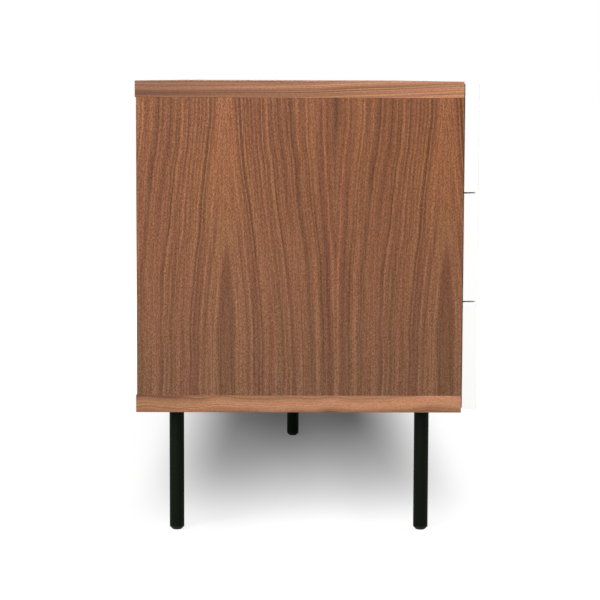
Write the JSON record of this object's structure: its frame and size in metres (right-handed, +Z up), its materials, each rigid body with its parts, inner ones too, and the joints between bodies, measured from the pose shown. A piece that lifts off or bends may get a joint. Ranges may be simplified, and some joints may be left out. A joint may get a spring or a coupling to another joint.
{
  "type": "dresser",
  "caption": "Long low dresser: walnut-veneered carcass on round black steel legs, with white overlay drawers on telescopic runners.",
  "frame": {"origin": "on the floor, below the centre of the bounding box", "axes": "+X along the length (to the right seen from the front), the drawers open towards -Y, +Z up"},
  "size_m": [1.8, 0.5, 0.672],
  "materials": {
    "walnut_veneer": "walnut veneer, satin open-pore lacquer",
    "back_board": "veneered board, satin",
    "white_lacquer": "fine matt white lacquer on fibreboard",
    "drawer_ply": "birch plywood, clear satin lacquer",
    "tongue_ply": "plain birch plywood",
    "black_steel": "black powder coat, fine matt",
    "runner_steel": "bright zinc-plated sheet",
    "glide_plastic": "black moulded",
    "bumper_rubber": "soft translucent"
  },
  "bodies": {
    "carcass": {"top_panel": "walnut_veneer", "bottom_panel": "walnut_veneer", "side_panel_left": "walnut_veneer", "side_panel_right": "walnut_veneer", "centre_divider": "walnut_veneer", "back_panel": "back_board", "joint_tongues": "tongue_ply", "leg_front_left": "black_steel", "leg_front_right": "black_steel", "leg_back_left": "black_steel", "leg_back_right": "black_steel", "leg_centre": "black_steel", "leg_plates": "black_steel", "leg_glides": "glide_plastic", "cabinet_runners": "runner_steel", "front_bumpers": "bumper_rubber"},
    "drawer_bottom_left": {"front_bottom_left": "white_lacquer", "box_sides_bottom_left": "drawer_ply", "box_ends_bottom_left": "drawer_ply", "box_bottom_bottom_left": "drawer_ply", "box_runners_bottom_left": "runner_steel"},
    "runner_bottom_left": {"middle_runners_bottom_left": "runner_steel"},
    "drawer_bottom_right": {"front_bottom_right": "white_lacquer", "box_sides_bottom_right": "drawer_ply", "box_ends_bottom_right": "drawer_ply", "box_bottom_bottom_right": "drawer_ply", "box_runners_bottom_right": "runner_steel"},
    "runner_bottom_right": {"middle_runners_bottom_right": "runner_steel"},
    "drawer_middle_left": {"front_middle_left": "white_lacquer", "box_sides_middle_left": "drawer_ply", "box_ends_middle_left": "drawer_ply", "box_bottom_middle_left": "drawer_ply", "box_runners_middle_left": "runner_steel"},
    "runner_middle_left": {"middle_runners_middle_left": "runner_steel"},
    "drawer_middle_right": {"front_middle_right": "white_lacquer", "box_sides_middle_right": "drawer_ply", "box_ends_middle_right": "drawer_ply", "box_bottom_middle_right": "drawer_ply", "box_runners_middle_right": "runner_steel"},
    "runner_middle_right": {"middle_runners_middle_right": "runner_steel"},
    "drawer_top_left": {"front_top_left": "white_lacquer", "box_sides_top_left": "drawer_ply", "box_ends_top_left": "drawer_ply", "box_bottom_top_left": "drawer_ply", "box_runners_top_left": "runner_steel"},
    "runner_top_left": {"middle_runners_top_left": "runner_steel"},
    "drawer_top_right": {"front_top_right": "white_lacquer", "box_sides_top_right": "drawer_ply", "box_ends_top_right": "drawer_ply", "box_bottom_top_right": "drawer_ply", "box_runners_top_right": "runner_steel"},
    "runner_top_right": {"middle_runners_top_right": "runner_steel"}
  },
  "joints": [
    {"name": "slide_bottom_left", "type": "slide", "parent": "carcass", "child": "drawer_bottom_left", "axis": [0, -1, 0], "range_m": [0, 0.43]},
    {"name": "runner_slide_bottom_left", "type": "slide", "parent": "carcass", "child": "runner_bottom_left", "axis": [0, -1, 0], "range_m": [0, 0.215]},
    {"name": "slide_bottom_right", "type": "slide", "parent": "carcass", "child": "drawer_bottom_right", "axis": [0, -1, 0], "range_m": [0, 0.43]},
    {"name": "runner_slide_bottom_right", "type": "slide", "parent": "carcass", "child": "runner_bottom_right", "axis": [0, -1, 0], "range_m": [0, 0.215]},
    {"name": "slide_middle_left", "type": "slide", "parent": "carcass", "child": "drawer_middle_left", "axis": [0, -1, 0], "range_m": [0, 0.43]},
    {"name": "runner_slide_middle_left", "type": "slide", "parent": "carcass", "child": "runner_middle_left", "axis": [0, -1, 0], "range_m": [0, 0.215]},
    {"name": "slide_middle_right", "type": "slide", "parent": "carcass", "child": "drawer_middle_right", "axis": [0, -1, 0], "range_m": [0, 0.43]},
    {"name": "runner_slide_middle_right", "type": "slide", "parent": "carcass", "child": "runner_middle_right", "axis": [0, -1, 0], "range_m": [0, 0.215]},
    {"name": "slide_top_left", "type": "slide", "parent": "carcass", "child": "drawer_top_left", "axis": [0, -1, 0], "range_m": [0, 0.43]},
    {"name": "runner_slide_top_left", "type": "slide", "parent": "carcass", "child": "runner_top_left", "axis": [0, -1, 0], "range_m": [0, 0.215]},
    {"name": "slide_top_right", "type": "slide", "parent": "carcass", "child": "drawer_top_right", "axis": [0, -1, 0], "range_m": [0, 0.43]},
    {"name": "runner_slide_top_right", "type": "slide", "parent": "carcass", "child": "runner_top_right", "axis": [0, -1, 0], "range_m": [0, 0.215]}
  ],
  "couplings": [
    {"joint": "runner_slide_bottom_left", "follows": "slide_bottom_left", "ratio": 0.5},
    {"joint": "runner_slide_bottom_right", "follows": "slide_bottom_right", "ratio": 0.5},
    {"joint": "runner_slide_middle_left", "follows": "slide_middle_left", "ratio": 0.5},
    {"joint": "runner_slide_middle_right", "follows": "slide_middle_right", "ratio": 0.5},
    {"joint": "runner_slide_top_left", "follows": "slide_top_left", "ratio": 0.5},
    {"joint": "runner_slide_top_right", "follows": "slide_top_right", "ratio": 0.5}
  ]
}
